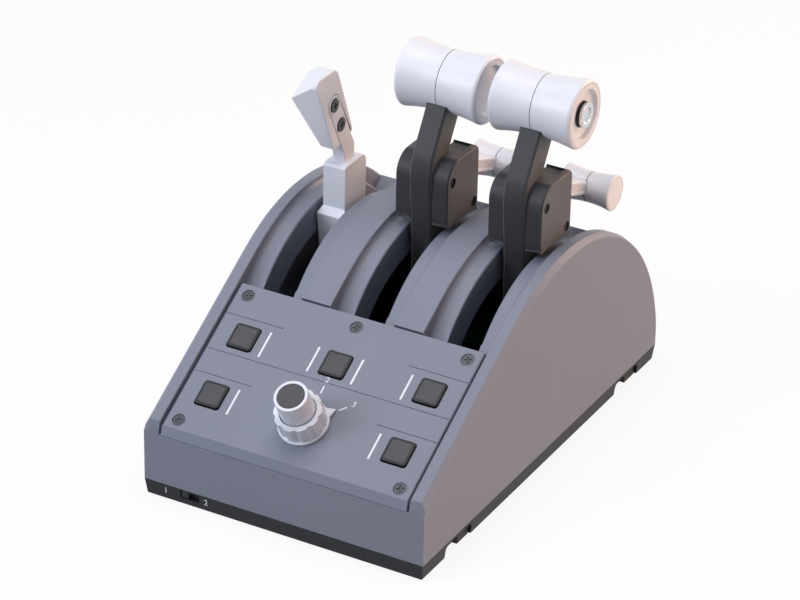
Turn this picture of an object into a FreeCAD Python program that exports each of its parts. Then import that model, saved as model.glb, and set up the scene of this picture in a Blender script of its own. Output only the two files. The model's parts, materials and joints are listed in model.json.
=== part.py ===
import FreeCAD, Part
import math
import os
from FreeCAD import Vector

# A desk throttle quadrant: a moulded housing with a sloping key panel,
# a speedbrake lever, and two thrust levers that each carry a reverser lever.
# Lengths are in millimetres, angles in degrees.
# X runs across, Y runs from the pilot to the rear, Z runs up from the desk.

# housing
width = 180.0
length = 288.6
wall = 3.0
base_height = 10.5
base_clearance = 0.8
base_taper = 1.2
slope = 30.6
crown_radius = 121.0
crown_y = 24.2
crown_z = 7.5
edge_chamfer_width = 3.0
edge_chamfer_drop = 4.0
small_gap = 0.3
tight_gap = 0.05

# levers and the bands they travel in
lever_pitch = 60.0
pivot_y = 21.1
pivot_z = 30.4
shelf_radius = 93.0
band_width = 40.8
band_rear_angle = 52.0
slot_width = 20.0
slot_front_angle = 45.5
slot_rear_angle = 42.0
lip_depth = 19.0
lip_wall = 2.0
shelf_cove = 4.0
slot_edge_round = 1.2
rib_edge_round = 0.8
shaft_radius = 4.0
bracket_width = 6.0
bracket_depth = 24.0
outer_bracket_x = 82.0
hub_radius = 14.0
sleeve_radius = 8.0

# control panel
panel_width = 157.6
panel_length = 99.3
panel_thickness = 3.0
panel_sink = 1.3
panel_gap = 0.8
rail_width = 9.6
panel_edge_round = 1.2
lip_bottom = 41.6
front_bevel = 1.75
ledge_side = 10.9
ledge_end = 12.0
groove_width = 0.5
groove_depth = 0.5
groove_inner = 40.3
groove_high = 78.6
groove_middle = 54.0
groove_low = 38.4
panel_screw_side = 71.0
panel_screw_front = 5.7
panel_screw_rear = 92.4

# keys
key_size = 16.0
key_proud = 1.2
key_travel = 1.2
key_round = 0.8
key_corner = 1.8
key_flange = 1.2
flange_thickness = 1.2
key_side = 60.0
key_front_row = 26.0
key_rear_row = 66.0
stem_radius = 2.2
board_depth = 10.4
board_thickness = 1.6
board_post_side = 42.0
switch_size = 6.0
switch_height = 2.6

# selector on the panel
selector_v = 26.2
skirt_radius = 15.0
skirt_height = 2.0
ring_radius = 14.0
ring_height = 14.0
flute_count = 10
flute_radius = 3.2
flute_bite = 0.9
pointer_reach = 19.3
pointer_angle = 42.0
pointer_spread = 17.0
knob_radius_low = 10.45
knob_radius_high = 9.85
knob_height = 29.0
cap_radius = 7.7
cap_thickness = 1.5
cap_travel = 0.8
bushing_radius = 4.6
outer_spindle_radius = 3.6
inner_spindle_radius = 2.0
encoder_size = 14.0

# thrust lever
arm_width = 13.6
arm_depth = 18.0
arm_root_front = 10.4
arm_root_height = 85.0
knee_front = 14.9
knee_height = 134.0
arm_rear = 8.2
arm_lean = 30.6
arm_tail = 60.0
arm_chamfer = 1.0
handle_y = 20.0
handle_z = 175.6
handle_half = 26.1
handle_waist = 18.0
handle_end = 20.4
handle_face = 18.6
handle_recess = 13.7
recess_depth = 2.5
dish_slope = 1.2
seam_inset = 0.3
seam_width = 0.35
seam_depth = 0.5
collar_radius = 7.7
collar_bore = 5.55
collar_proud = 1.0
button_radius = 7.4
button_height = 1.8
button_travel = 0.8
dimple_radius = 4.8
dimple_depth = 0.9
collar_depth = 9.5

# block on the thrust lever
block_width = 34.0
block_front = 11.6
block_rear = 26.0
block_top = 137.6
block_bottom_radius = 97.0
block_wall = 3.4
block_nose_round = 13.0
block_rear_round = 4.5
block_edge = 0.8
window_front = 13.1
block_screw_front = (-5.3, 125.2)
block_screw_rear = (20.8, 102.4)
screw_boss_radius = 4.6

# reverser lever
reverser_y = 13.2
reverser_z = 121.6
reverser_hub = 4.4
reverser_pin = 1.75
reverser_right = 1.0
reverser_width = 9.0
reverser_thickness = 7.8
reverser_length = 77.1
reverser_drop = 20.1
spool_half = 16.0
spool_waist = 9.2
spool_end = 11.0
spool_rim = 0.9
channel_depth = 0.8
channel_half = 2.3

# speedbrake lever
brake_root_width = 18.6
brake_root_front = 10.8
brake_root_rear = 14.0
brake_root_top = 89.0
brake_block_width = 14.8
brake_block_front = 6.9
brake_block_rear = 17.6
brake_block_top = 117.6
brake_shoulder = 3.0
neck_width = 8.2
neck_depth = 11.4
neck_front = 1.9
neck_bend = 126.0
neck_lean = 27.0
neck_split = 8.0
strip_round = 5.0
strip_length = 44.0
strip_thickness = 4.1
grip_foot_width = 8.0
grip_top_width = 20.0
grip_long = 57.0
grip_short = 41.0
grip_round = 1.6

# screws
panel_head = 4.25
panel_shank = 1.6
head_height = 1.5
small_head = 2.8
small_shank = 1.4

# base details
notch_length = 30.0
notch_height = 8.6
notch_front = 27.0
notch_rear = 236.0
notch_depth = 5.5
foot_width = 9.0
foot_length = 13.0
base_screw_x = 76.0
base_screw_inset = 13.0
boss_radius = 4.2
switch_slot_x = -60.25
switch_slot_width = 12.5
switch_slot_low = 4.5
switch_slot_high = 9.5
slider_width = 4.6
insert_x = 60.0
insert_y = 100.0
insert_radius = 3.6
insert_bore = 2.1
insert_height = 8.0
main_board_width = 84.0
main_board_length = 58.0
main_board_z = 13.0
usb_width = 8.9
usb_height = 3.3
usb_depth = 7.5

# rear cover
cover_half = 79.0
cover_high_angle = 54.0
cover_low_angle = 81.5
cover_thickness = 2.8
cover_ledge = 8.0

front = -length / 2
rear = length / 2
half_width = width / 2
rail_inner = half_width - rail_width
far = 2 * length
lever_places = {"speedbrake": -lever_pitch, "left": 0.0, "right": lever_pitch}


def turn(angle):
    return math.cos(math.radians(angle)), math.sin(math.radians(angle))


def box(x0, x1, y0, y1, z0, z1):
    return Part.makeBox(x1 - x0, y1 - y0, z1 - z0, Vector(x0, y0, z0))


def rod(x0, x1, y, z, radius):
    return Part.makeCylinder(radius, x1 - x0, Vector(x0, y, z), Vector(1, 0, 0))


def post(x, y, z0, z1, radius):
    return Part.makeCylinder(radius, z1 - z0, Vector(x, y, z0))


def slab(outline, x0, x1):
    # a closed outline in Y and Z, pushed along X
    corners = [Vector(x0, y, z) for y, z in outline]
    face = Part.Face(Part.makePolygon(corners + corners[:1]))
    return face.extrude(Vector(x1 - x0, 0, 0))


def sector(x0, x1, y, z, inner, outer, low, high):
    # a piece of a ring round an X axis; angles run from straight up toward the pilot
    def at(radius, angle):
        along, across = turn(angle)
        return Vector(x0, y - radius * across, z + radius * along)
    middle = (low + high) / 2
    edges = [
        Part.Arc(at(outer, low), at(outer, middle), at(outer, high)).toShape(),
        Part.LineSegment(at(outer, high), at(inner, high)).toShape(),
        Part.Arc(at(inner, high), at(inner, middle), at(inner, low)).toShape(),
        Part.LineSegment(at(inner, low), at(outer, low)).toShape(),
    ]
    return Part.Face(Part.Wire(edges)).extrude(Vector(x1 - x0, 0, 0))


def fused(shapes):
    whole = shapes[0]
    if len(shapes) > 1:
        whole = whole.fuse(shapes[1:])
    return whole.removeSplitter()


def placed(shape, placement):
    moved = shape.copy()
    moved.Placement = placement.multiply(moved.Placement)
    return moved


def edges_where(shape, test):
    chosen = []
    for edge in shape.Edges:
        ends = [vertex.Point for vertex in edge.Vertexes]
        if len(ends) == 2 and test(ends[0], ends[1]):
            chosen.append(edge)
    return chosen


def rounded_along_x(shape, corners):
    # corners lists (y, z, radius) of edges that run along X
    for y, z, radius in corners:
        def at_corner(a, b):
            near = abs(a.y - y) + abs(a.z - z) < 0.01
            return near and abs(a.y - b.y) + abs(a.z - b.z) < 0.01
        shape = shape.makeFillet(radius, edges_where(shape, at_corner))
    return shape


def screw(head_radius, shank_radius, shank_length):
    # the head's top is at z = 0 and the screw points down
    head = post(0, 0, -head_height, 0, head_radius)
    shank = post(0, 0, -head_height - shank_length, -head_height, shank_radius)
    arm = head_radius * 0.6
    thin = head_radius * 0.12
    depth = head_height * 0.6
    cross = box(-arm, arm, -thin, thin, -depth, depth)
    cross = cross.fuse(box(-thin, thin, -arm, arm, -depth, depth))
    return head.fuse(shank).removeSplitter().cut(cross)


def screw_hole(head_radius, shank_radius, depth, loose):
    hole = post(0, 0, -depth, far / 4, shank_radius + loose)
    sink = post(0, 0, -head_height, far / 4, head_radius + small_gap)
    return hole.fuse(sink)


# the panel's own frame: X across, Y up the slope, Z out of the panel's face
slope_cos, slope_sin = turn(slope)
crown_start_y = crown_y - crown_radius * slope_sin
crown_start_z = crown_z + crown_radius * slope_cos
front_edge_y = front + front_bevel
front_edge_z = crown_start_z - (crown_start_y - front_edge_y) * slope_sin / slope_cos
front_edge_z -= panel_sink / slope_cos
panel_place = FreeCAD.Placement(Vector(0, front_edge_y, front_edge_z),
                                FreeCAD.Rotation(Vector(1, 0, 0), slope))


def on_panel(shape):
    return placed(shape, panel_place)


def panel_point(v, h):
    return (front_edge_y + v * slope_cos - h * slope_sin,
            front_edge_z + v * slope_sin + h * slope_cos)


def side_wire(x, top_inset, rear_inset, end_inset, bottom):
    # front wall, slope, crown arc and rear wall, each set in from the outside
    front_y = front + end_inset
    rear_y = rear - end_inset
    start_radius = crown_radius - top_inset
    end_radius = crown_radius - rear_inset
    start = (crown_y - start_radius * slope_sin, crown_z + start_radius * slope_cos)
    end_angle = math.degrees(math.asin((rear_y - crown_y) / end_radius))
    along, across = turn((end_angle - slope) / 2)
    middle_radius = (start_radius + end_radius) / 2
    middle = (crown_y + middle_radius * across, crown_z + middle_radius * along)
    end = (rear_y, crown_z + end_radius * math.cos(math.radians(end_angle)))
    bevel_y = front_y + front_bevel
    bevel_z = start[1] - (start[0] - bevel_y) * slope_sin / slope_cos
    spots = [Vector(x, y, z) for y, z in
             [(front_y, bottom), (front_y, lip_bottom), (bevel_y, bevel_z),
              start, middle, end, (rear_y, bottom)]]
    low_front, bevel_low, bevel_high, first, second, third, low_rear = spots
    edges = [
        Part.LineSegment(low_front, bevel_low).toShape(),
        Part.LineSegment(bevel_low, bevel_high).toShape(),
        Part.LineSegment(bevel_high, first).toShape(),
        Part.Arc(first, second, third).toShape(),
        Part.LineSegment(third, low_rear).toShape(),
        Part.LineSegment(low_rear, low_front).toShape(),
    ]
    return Part.Wire(edges)


nodes = {}


def add(name, solids):
    nodes[name] = solids[0] if len(solids) == 1 else Part.makeCompound(solids)


# ---- main shell ----
chamfer_start = half_width - edge_chamfer_width
middle_wire = side_wire(-chamfer_start, 0, 0, 0, base_height)
outside = [Part.Face(middle_wire).extrude(Vector(2 * chamfer_start, 0, 0))]
for side in (-1, 1):
    inner_wire = side_wire(side * chamfer_start, 0, 0, 0, base_height)
    outer_wire = side_wire(side * half_width, edge_chamfer_drop, 0, 0, base_height)
    outside.append(Part.makeLoft([inner_wire, outer_wire], True, True))
outside = fused(outside)

recess_end = panel_length + panel_gap
panel_recess = on_panel(box(-rail_inner, rail_inner, -far, recess_end, -panel_thickness, far))
recess_backing = on_panel(box(-half_width, half_width, -far, recess_end + wall,
                              -panel_thickness - wall, far))
lip_recess = box(-rail_inner, rail_inner, front - wall, front + wall + small_gap,
                 lip_bottom, lip_bottom + far)
lip_backing = box(-half_width, half_width, front, front + 2 * wall + small_gap,
                  lip_bottom - wall, lip_bottom + 2 * wall)
window = on_panel(box(-rail_inner + ledge_side, rail_inner - ledge_side,
                      ledge_end, recess_end - ledge_end, -far, 0))

ahead_of_bands = on_panel(box(-far, far, -far, recess_end, -far, far))
ahead_of_backing = on_panel(box(-far, far, -far, recess_end - wall, -far, far))
steepest = 80.0
removed = [panel_recess, lip_recess, window]
backing = [recess_backing, lip_backing]
for place in lever_places.values():
    half_band = band_width / 2
    band = sector(place - half_band, place + half_band, pivot_y, pivot_z,
                  shelf_radius, far, -band_rear_angle, steepest)

    def floor_side(a, b):
        flat = abs(a.x - b.x) < 0.01
        low = all(abs(math.hypot(p.y - pivot_y, p.z - pivot_z) - shelf_radius) < 0.01
                  for p in (a, b))
        return flat and low
    band = band.makeFillet(shelf_cove, edges_where(band, floor_side))
    removed.append(band.cut(ahead_of_bands))
    half_band += wall
    rim = sector(place - half_band, place + half_band, pivot_y, pivot_z,
                 shelf_radius - wall, far, -band_rear_angle - 2, steepest)
    backing.append(rim.cut(ahead_of_backing))
    half_slot = slot_width / 2
    removed.append(sector(place - half_slot, place + half_slot, pivot_y, pivot_z,
                          shelf_radius - lip_depth - wall, shelf_radius + wall,
                          -slot_rear_angle, slot_front_angle))
    half_slot += lip_wall
    backing.append(sector(place - half_slot, place + half_slot, pivot_y, pivot_z,
                          shelf_radius - lip_depth, shelf_radius,
                          -slot_rear_angle - 1.5, slot_front_angle + 1.5))

cover_recess_radius = crown_radius - cover_thickness
removed.append(sector(-cover_half, cover_half, crown_y, crown_z, cover_recess_radius,
                      far, -cover_low_angle, -cover_high_angle))
backing.append(sector(-half_width, half_width, crown_y, crown_z, cover_recess_radius - wall,
                      far, -cover_low_angle - 1.5, -cover_high_angle + 1.5))
ledge_angle = math.degrees(cover_ledge / crown_radius)
removed.append(sector(-cover_half + cover_ledge, cover_half - cover_ledge, crown_y, crown_z,
                      crown_radius - 4 * wall, far,
                      -cover_low_angle + ledge_angle, -cover_high_angle - ledge_angle))

tray_floor = base_clearance + wall
base_screw_places = []
for side in (-1, 1):
    for y in (front + base_screw_inset, rear - base_screw_inset):
        base_screw_places.append((side * base_screw_x, y))
        backing.append(post(side * base_screw_x, y, 0, far, boss_radius))

panel_screw_places = [(side * panel_screw_side, v) for side in (-1, 1)
                      for v in (panel_screw_front, panel_screw_rear)]
panel_screw_places.append((0, panel_screw_rear))
panel_screw_length = panel_thickness + wall + 2
for u, v in panel_screw_places:
    boss_foot = -panel_screw_length - head_height - 1
    backing.append(on_panel(post(u, v, boss_foot, 0, boss_radius)))

hollow = Part.Face(side_wire(-half_width + wall, wall, wall, wall, base_height - 1))
hollow = hollow.extrude(Vector(width - 2 * wall, 0, 0))
hollow = hollow.cut(backing)


def on_top_surface(p):
    if p.y > crown_start_y - 0.01:
        return abs(math.hypot(p.y - crown_y, p.z - crown_z) - crown_radius) < 0.02
    rise = crown_start_z - (crown_start_y - p.y) * slope_sin / slope_cos
    return abs(p.z - rise) < 0.02


def rib_edge(a, b):
    aligned = any(abs(abs(a.x - c) - band_width / 2) < 0.01 for c in lever_places.values())
    return aligned and abs(a.x - b.x) < 0.01 and on_top_surface(a) and on_top_surface(b)


def slot_edge(a, b):
    aligned = any(abs(abs(a.x - c) - slot_width / 2) < 0.01 for c in lever_places.values())
    on_shelf = all(abs(math.hypot(p.y - pivot_y, p.z - pivot_z) - shelf_radius) < 0.02
                   for p in (a, b))
    return aligned and abs(a.x - b.x) < 0.01 and on_shelf


carved = outside.cut(removed)
carved = carved.makeFillet(rib_edge_round, edges_where(carved, rib_edge))
carved = carved.makeFillet(slot_edge_round, edges_where(carved, slot_edge))
shell = carved.cut(hollow.cut(removed))
boss_ends = [post(x, y, tray_floor, base_height + 1, boss_radius) for x, y in base_screw_places]
shell = fused([shell] + boss_ends)
drills = [post(x, y, 0, base_height + 8, small_shank + tight_gap) for x, y in base_screw_places]
for u, v in panel_screw_places:
    drills.append(on_panel(post(u, v, -panel_screw_length - head_height, 0, panel_shank + tight_gap)))


def cover_frame(x, angle):
    along, across = turn(angle)
    spot = Vector(x, crown_y + crown_radius * across, crown_z + crown_radius * along)
    return FreeCAD.Placement(spot, FreeCAD.Rotation(Vector(1, 0, 0), -angle))


cover_screw_places = [(side * (cover_half - cover_ledge / 2), angle) for side in (-1, 1)
                      for angle in (cover_high_angle + ledge_angle / 2,
                                    cover_low_angle - ledge_angle / 2)]
cover_screw_length = 4.0
for x, angle in cover_screw_places:
    drill = post(0, 0, -head_height - cover_screw_length, 0, small_shank + tight_gap)
    drills.append(placed(drill, cover_frame(x, angle)))
board_top = main_board_z + board_thickness
usb_z = board_top + usb_height / 2
usb_room = box(-usb_width / 2 - small_gap, usb_width / 2 + small_gap, rear - 2 * wall, rear + 1,
               usb_z - usb_height / 2 - small_gap, usb_z + usb_height / 2 + small_gap)
drills.append(usb_room)
shell = shell.cut(drills)
add("main_shell", [shell])

# ---- rear cover ----
cover = sector(-cover_half + small_gap, cover_half - small_gap, crown_y, crown_z,
               cover_recess_radius, crown_radius,
               -cover_low_angle + 0.2, -cover_high_angle - 0.2)
cover_screws = []
for x, angle in cover_screw_places:
    spot = cover_frame(x, angle)
    cover = cover.cut(placed(screw_hole(small_head, small_shank, wall, tight_gap), spot))
    cover_screws.append(placed(screw(small_head, small_shank, cover_screw_length), spot))
add("rear_cover", [cover])
add("rear_cover_screws", cover_screws)

# ---- base tray ----
def rim_wire(inset, z):
    corners = [(-half_width + inset, front + inset), (half_width - inset, front + inset),
               (half_width - inset, rear - inset), (-half_width + inset, rear - inset)]
    points = [Vector(x, y, z) for x, y in corners]
    return Part.makePolygon(points + points[:1])


tray = Part.makeLoft([rim_wire(base_taper, base_clearance), rim_wire(0, base_height)], True, True)
inside = base_taper + wall
tray_hollow = box(-half_width + inside, half_width - inside, front + inside, rear - inside,
                  tray_floor, base_height + 1)
foot_blocks = []
notches = []
feet = []
notch_middles = [front + notch_front + notch_length / 2, front + notch_rear + notch_length / 2]
block_inner = half_width - notch_depth - foot_width - wall
notch_radius = (notch_height - base_clearance) / 2
for side in (-1, 1):
    for middle in notch_middles:
        half = notch_length / 2
        edges = sorted((side * block_inner, side * (half_width - inside + 1)))
        foot_blocks.append(box(edges[0], edges[1], middle - half - wall, middle + half + wall,
                               tray_floor - 1, base_height))
        edges = sorted((side * (half_width - notch_depth), side * (half_width + 1)))
        cut = box(edges[0], edges[1], middle - half + notch_radius, middle + half - notch_radius,
                  -1, notch_height)
        ends = [rod(edges[0], edges[1], middle + way * (half - notch_radius),
                    notch_height - notch_radius, notch_radius) for way in (-1, 1)]
        below = box(edges[0], edges[1], middle - half, middle + half, -1,
                    notch_height - notch_radius)
        notches.append(fused([cut, below] + ends))
        foot_outer = half_width - base_taper - 1.5
        edges = sorted((side * (foot_outer - foot_width), side * foot_outer))
        foot_rear = middle + half
        foot = box(edges[0], edges[1], foot_rear - foot_length, foot_rear,
                   0, notch_height - 1)
        feet.append(foot)
        notches.append(box(edges[0], edges[1], foot_rear - foot_length, foot_rear,
                           -1, notch_height - 1))
tray = tray.cut(tray_hollow.cut(foot_blocks))
insert_places = [(sx * insert_x, sy * insert_y) for sx in (-1, 1) for sy in (-1, 1)]
insert_bosses = [post(x, y, base_clearance, base_clearance + insert_height + 1, insert_radius + 2)
                 for x, y in insert_places]
board_posts = [post(sx * (main_board_width / 2 - 5), y, tray_floor - 1, main_board_z, 2.5)
               for sx in (-1, 1)
               for y in (rear - wall - main_board_length + 4, rear - wall - base_taper - 8)]
tray = fused([tray] + insert_bosses + board_posts)
switch_low_x = switch_slot_x - switch_slot_width / 2
switch_high_x = switch_slot_x + switch_slot_width / 2
tray_cuts = notches
tray_cuts.append(box(switch_low_x, switch_high_x, front - 1, front + inside + 1,
                     switch_slot_low, switch_slot_high))
for x, y in insert_places:
    tray_cuts.append(post(x, y, base_clearance - 1, base_clearance + insert_height, insert_radius))
for x, y in base_screw_places:
    tray_cuts.append(post(x, y, 0, base_height, small_shank + tight_gap))
    tray_cuts.append(post(x, y, 0, base_clearance + head_height, small_head + small_gap))
tray = tray.cut(tray_cuts)
add("base_tray", [tray])
add("rubber_feet", feet)
flip = FreeCAD.Rotation(Vector(1, 0, 0), 180)
add("base_screws", [placed(screw(small_head, small_shank, base_height),
                           FreeCAD.Placement(Vector(x, y, base_clearance), flip))
                    for x, y in base_screw_places])
inserts = []
for x, y in insert_places:
    sleeve = post(x, y, base_clearance, base_clearance + insert_height, insert_radius)
    inserts.append(sleeve.cut(post(x, y, 0, base_clearance + insert_height + 1, insert_bore)))
add("mounting_inserts", inserts)

# ---- slide switch in the front of the base ----
body_front = front + inside
add("slide_switch_body", [box(switch_low_x - 1.5, switch_high_x + 1.5, body_front,
                              body_front + 6, tray_floor, base_height)])
slider_x = switch_low_x + small_gap
add("slide_switch_slider", [box(slider_x, slider_x + slider_width, front + 1.2,
                                body_front - small_gap, switch_slot_low + small_gap,
                                switch_slot_high - small_gap)])

# ---- main board and USB socket ----
board_rear = rear - wall - usb_depth + 3
main_board = box(-main_board_width / 2, main_board_width / 2, rear - wall - main_board_length,
                 rear - wall - base_taper - 1, main_board_z, board_top)
add("main_board", [main_board])
usb = box(-usb_width / 2, usb_width / 2, rear - 0.5 - usb_depth, rear - 0.5,
          board_top, board_top + usb_height)
usb_mouth = box(-usb_width / 2 + 0.3, usb_width / 2 - 0.3, rear - usb_depth, rear,
                board_top + 0.3, board_top + usb_height - 0.3)
usb_tongue = box(-usb_width / 2 + 1.1, usb_width / 2 - 1.1, rear - usb_depth - 0.4, rear - 1.4,
                 usb_z - 0.35, usb_z + 0.35)
add("usb_socket", [fused([usb.cut(usb_mouth), usb_tongue])])

# ---- lever shaft and its brackets ----
bracket_places = [-outer_bracket_x, -lever_pitch / 2, lever_pitch / 2, outer_bracket_x]
half_bracket = bracket_width / 2
brackets = []
for x in bracket_places:
    foot = box(x - half_bracket, x + half_bracket, pivot_y - bracket_depth / 2,
               pivot_y + bracket_depth / 2, tray_floor, pivot_z)
    head = rod(x - half_bracket, x + half_bracket, pivot_y, pivot_z, bracket_depth / 2)
    bore = rod(x - half_bracket - 1, x + half_bracket + 1, pivot_y, pivot_z,
               shaft_radius + tight_gap)
    brackets.append(fused([foot, head]).cut(bore))
add("shaft_brackets", brackets)
shaft_end = outer_bracket_x + half_bracket
add("lever_shaft", [rod(-shaft_end, shaft_end, pivot_y, pivot_z, shaft_radius)])

# ---- control panel ----
half_panel = panel_width / 2
plate = box(-half_panel, half_panel, 0, panel_length, -panel_thickness, 0)
plate = on_panel(plate)
inner_y = front + wall
v_inner = (inner_y - front_edge_y - panel_thickness * slope_sin) / slope_cos
nose = slab([(front, lip_bottom + small_gap), panel_point(0, 0), panel_point(wall, 0), panel_point(wall, -panel_thickness),
             panel_point(v_inner, -panel_thickness), (inner_y, lip_bottom + small_gap)],
            -half_panel, half_panel)
panel = fused([plate, nose])


def long_side(a, b):
    return abs(abs(a.x) - half_panel) < 0.01 and abs(a.x - b.x) < 0.01 and a.distanceToPoint(b) > 90


upper = [edge for edge in edges_where(panel, long_side)
         if abs(edge.Vertexes[0].Point.z - panel_point(panel_length, 0)[1]) < 0.5
         or abs(edge.Vertexes[1].Point.z - panel_point(panel_length, 0)[1]) < 0.5]
panel = panel.makeFillet(panel_edge_round, upper)
board_posts = []
for side in (-1, 1):
    for v in (key_front_row - 8, key_rear_row + 12):
        board_posts.append(on_panel(post(side * board_post_side, v, -board_depth,
                                         -panel_thickness, 2.5)))
panel = fused([panel] + board_posts)

key_places = {
    "upper_left": (-key_side, key_rear_row),
    "upper_middle": (0, key_rear_row),
    "upper_right": (key_side, key_rear_row),
    "lower_left": (-key_side, key_front_row),
    "lower_right": (key_side, key_front_row),
}
half_key = key_size / 2
half_hole = half_key + small_gap
panel_cuts = []
for u, v in key_places.values():
    panel_cuts.append(on_panel(box(u - half_hole, u + half_hole, v - half_hole, v + half_hole,
                                   -panel_thickness - 1, 1)))
panel_cuts.append(on_panel(post(0, selector_v, -panel_thickness - 1, 1,
                                bushing_radius + tight_gap)))
for u, v in panel_screw_places:
    spot = FreeCAD.Placement(Vector(u, v, 0), FreeCAD.Rotation())
    panel_cuts.append(on_panel(placed(screw_hole(panel_head, panel_shank, 2 * wall, small_gap), spot)))
for v, inner_u in ((groove_high, groove_inner), (groove_middle, 0), (groove_low, groove_inner)):
    for side in (-1, 1):
        ends = sorted((side * inner_u, side * (half_panel + 1)))
        panel_cuts.append(on_panel(box(ends[0], ends[1], v - groove_width / 2,
                                       v + groove_width / 2, -groove_depth, 1)))
panel = panel.cut(panel_cuts)
add("control_panel", [panel])
panel_screws = []
for u, v in panel_screw_places:
    one = screw(panel_head, panel_shank, panel_screw_length - 1)
    spot = FreeCAD.Placement(Vector(u, v, 0), FreeCAD.Rotation())
    panel_screws.append(on_panel(placed(one, spot)))
add("panel_screws", panel_screws)

# ---- keys, their board and switches ----
key_board = box(-key_side - half_key, key_side + half_key, key_front_row - half_key - 3,
                key_rear_row + half_key + 6, -board_depth - board_thickness, -board_depth)
add("key_board", [on_panel(key_board)])
half_switch = switch_size / 2
switches = []
for name, (u, v) in key_places.items():
    cap = box(u - half_key, u + half_key, v - half_key, v + half_key,
              -panel_thickness - tight_gap, key_proud)

    def on_top(a, b):
        return abs(a.z - key_proud) < 0.01 and abs(b.z - key_proud) < 0.01
    cap = cap.makeFillet(key_corner, edges_where(cap, lambda a, b: abs(a.z - b.z) > 1))
    cap = cap.makeFillet(key_round, edges_where(cap, on_top))
    wide = half_key + key_flange
    flange_top = -panel_thickness - tight_gap
    flange = box(u - wide, u + wide, v - wide, v + wide, flange_top - flange_thickness, flange_top)
    stem_foot = -board_depth + switch_height + key_travel + small_gap
    stem = post(u, v, stem_foot, flange_top, stem_radius)
    add("key_" + name, [on_panel(fused([cap, flange, stem]))])
    switches.append(on_panel(box(u - half_switch, u + half_switch, v - half_switch,
                                 v + half_switch, -board_depth, -board_depth + switch_height)))
add("key_switches", switches)

# ---- selector ring, encoder knob and push cap ----
half_encoder = encoder_size / 2
encoder = box(-half_encoder, half_encoder, selector_v - half_encoder, selector_v + half_encoder,
              -board_depth, -panel_thickness)
encoder = fused([encoder, post(0, selector_v, -panel_thickness, 0, bushing_radius)])
encoder_bore = post(0, selector_v, -board_depth + 1, 1, outer_spindle_radius + tight_gap)
add("encoder_body", [on_panel(encoder.cut(encoder_bore))])

flutes = []
for index in range(flute_count):
    along, across = turn(360.0 * index / flute_count)
    reach = ring_radius + flute_radius - flute_bite
    flutes.append(post(reach * along, selector_v + reach * across, skirt_height,
                       ring_height + 1, flute_radius))
grip = post(0, selector_v, skirt_height, ring_height, ring_radius).cut(flutes)
skirt = post(0, selector_v, small_gap, skirt_height, skirt_radius)
pointer_corners = []
for reach, angle in ((skirt_radius - 1, pointer_angle - pointer_spread),
                     (pointer_reach, pointer_angle),
                     (skirt_radius - 1, pointer_angle + pointer_spread)):
    along, across = turn(angle)
    pointer_corners.append(Vector(reach * along, selector_v + reach * across, small_gap))
pointer = Part.Face(Part.makePolygon(pointer_corners + pointer_corners[:1]))
pointer = pointer.extrude(Vector(0, 0, skirt_height))
spindle = post(0, selector_v, -board_depth + 2, small_gap, outer_spindle_radius)
ring = fused([grip, skirt, pointer, spindle])
knob_foot = skirt_height + 1
ring = ring.cut(post(0, selector_v, knob_foot, ring_height + 1, knob_radius_low + small_gap))
ring = ring.cut(post(0, selector_v, -board_depth, knob_foot + 1, inner_spindle_radius + tight_gap))
add("selector_ring", [on_panel(ring)])

knob = Part.makeCone(knob_radius_low, knob_radius_high, knob_height - knob_foot - small_gap,
                     Vector(0, selector_v, knob_foot + small_gap))
inner_spindle = post(0, selector_v, -board_depth + 1.5, knob_foot + 1, inner_spindle_radius)
knob = fused([knob, inner_spindle])
cap_room = cap_thickness + cap_travel + small_gap
plunger_radius = 1.5
plunger_length = 7.0
knob = knob.cut([
    post(0, selector_v, knob_height - cap_room, knob_height + 1, cap_radius + small_gap),
    post(0, selector_v, knob_height - cap_room - plunger_length, knob_height,
         plunger_radius + tight_gap),
])
add("encoder_knob", [on_panel(knob)])
cap_foot = knob_height - cap_thickness
push_cap = fused([post(0, selector_v, cap_foot, knob_height, cap_radius),
                  post(0, selector_v, cap_foot - plunger_length + 1, cap_foot, plunger_radius)])
add("selector_push_cap", [on_panel(push_cap)])


# ---- levers ----
def from_pivot(points):
    return [(pivot_y + y, pivot_z + z) for y, z in points]


def hub(place, half):
    inner = min(outer_bracket_x - half_bracket, abs(place) + lever_pitch / 2 - half_bracket)
    low = -lever_pitch / 2 + half_bracket if place >= 0 else -outer_bracket_x + half_bracket
    high = lever_pitch / 2 - half_bracket if place <= 0 else outer_bracket_x - half_bracket
    if place > 0:
        low = lever_pitch / 2 + half_bracket
    if place < 0:
        high = -lever_pitch / 2 - half_bracket
    return [rod(low + small_gap, high - small_gap, pivot_y, pivot_z, sleeve_radius),
            rod(place - half, place + half, pivot_y, pivot_z, hub_radius)]


shaft_bore = rod(-half_width, half_width, pivot_y, pivot_z, shaft_radius + tight_gap)
lean_cos, lean_sin = turn(arm_lean)


def arm_outline(extra):
    # the arm seen from the side, optionally larger all round by a clearance
    knee = (-knee_front, knee_height)
    tip = (knee[0] + arm_tail * lean_sin, knee[1] + arm_tail * lean_cos)
    back_tip = (tip[0] + arm_depth * lean_cos, tip[1] - arm_depth * lean_sin)
    slack = arm_depth - (arm_rear + knee_front) * lean_cos
    back_knee = (arm_rear, knee_height - slack / lean_sin)
    root = (-arm_root_front, arm_root_height)
    return from_pivot([
        (-sleeve_radius - extra, 0), (root[0] - extra, root[1]),
        (knee[0] - extra, knee[1] + extra / 2),
        (tip[0] + extra * (lean_sin - lean_cos), tip[1] + extra * (lean_cos + lean_sin)),
        (back_tip[0] + extra * (lean_sin + lean_cos), back_tip[1] + extra * (lean_cos - lean_sin)),
        (back_knee[0] + extra, back_knee[1] - extra / 2), (arm_rear + extra, arm_root_height),
        (sleeve_radius + extra, 0)])


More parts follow.
